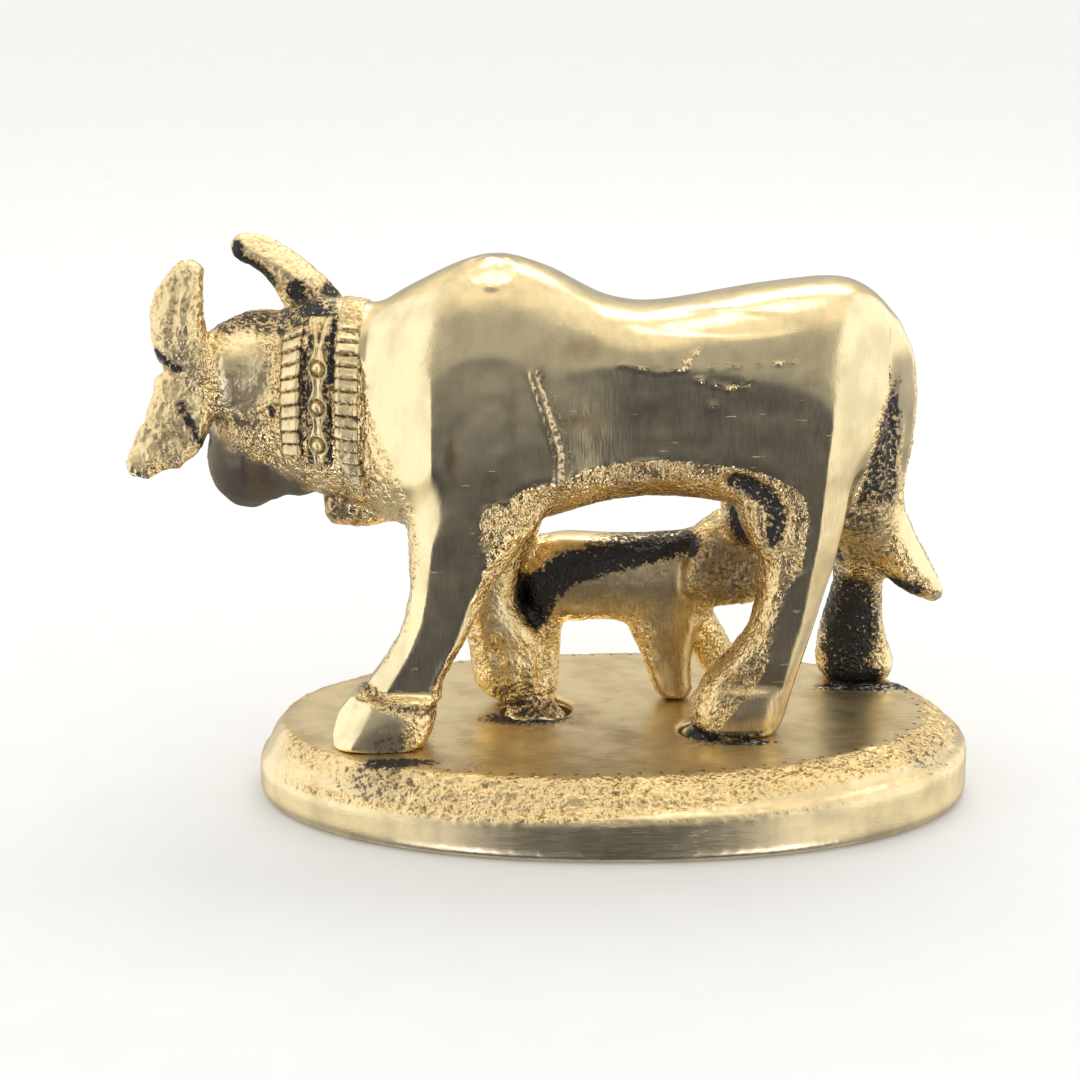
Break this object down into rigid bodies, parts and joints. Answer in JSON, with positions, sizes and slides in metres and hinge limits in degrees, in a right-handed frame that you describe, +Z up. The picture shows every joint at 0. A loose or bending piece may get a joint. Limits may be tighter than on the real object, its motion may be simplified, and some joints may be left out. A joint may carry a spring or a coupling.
{
  "type": "cow and calf figurine",
  "caption": "Cast brass cow with turned head and garlanded neck, her calf at the udder, on an oval stepped base.",
  "frame": {"origin": "middle of the base's flat underside", "axes": "+X along the cow towards her tail, +Y towards her right side, +Z up"},
  "size_m": [0.0913, 0.0502, 0.0604],
  "materials": {
    "base_brass": "ground rim and top, rough cast slope, darkened in the hollows",
    "casting_brass": "polished flanks and legs, rough cast neck, head and hollows, black patina in the recesses"
  },
  "bodies": {
    "root": {"base": "base_brass", "cow_and_calf": "casting_brass"}
  },
  "joints": []
}
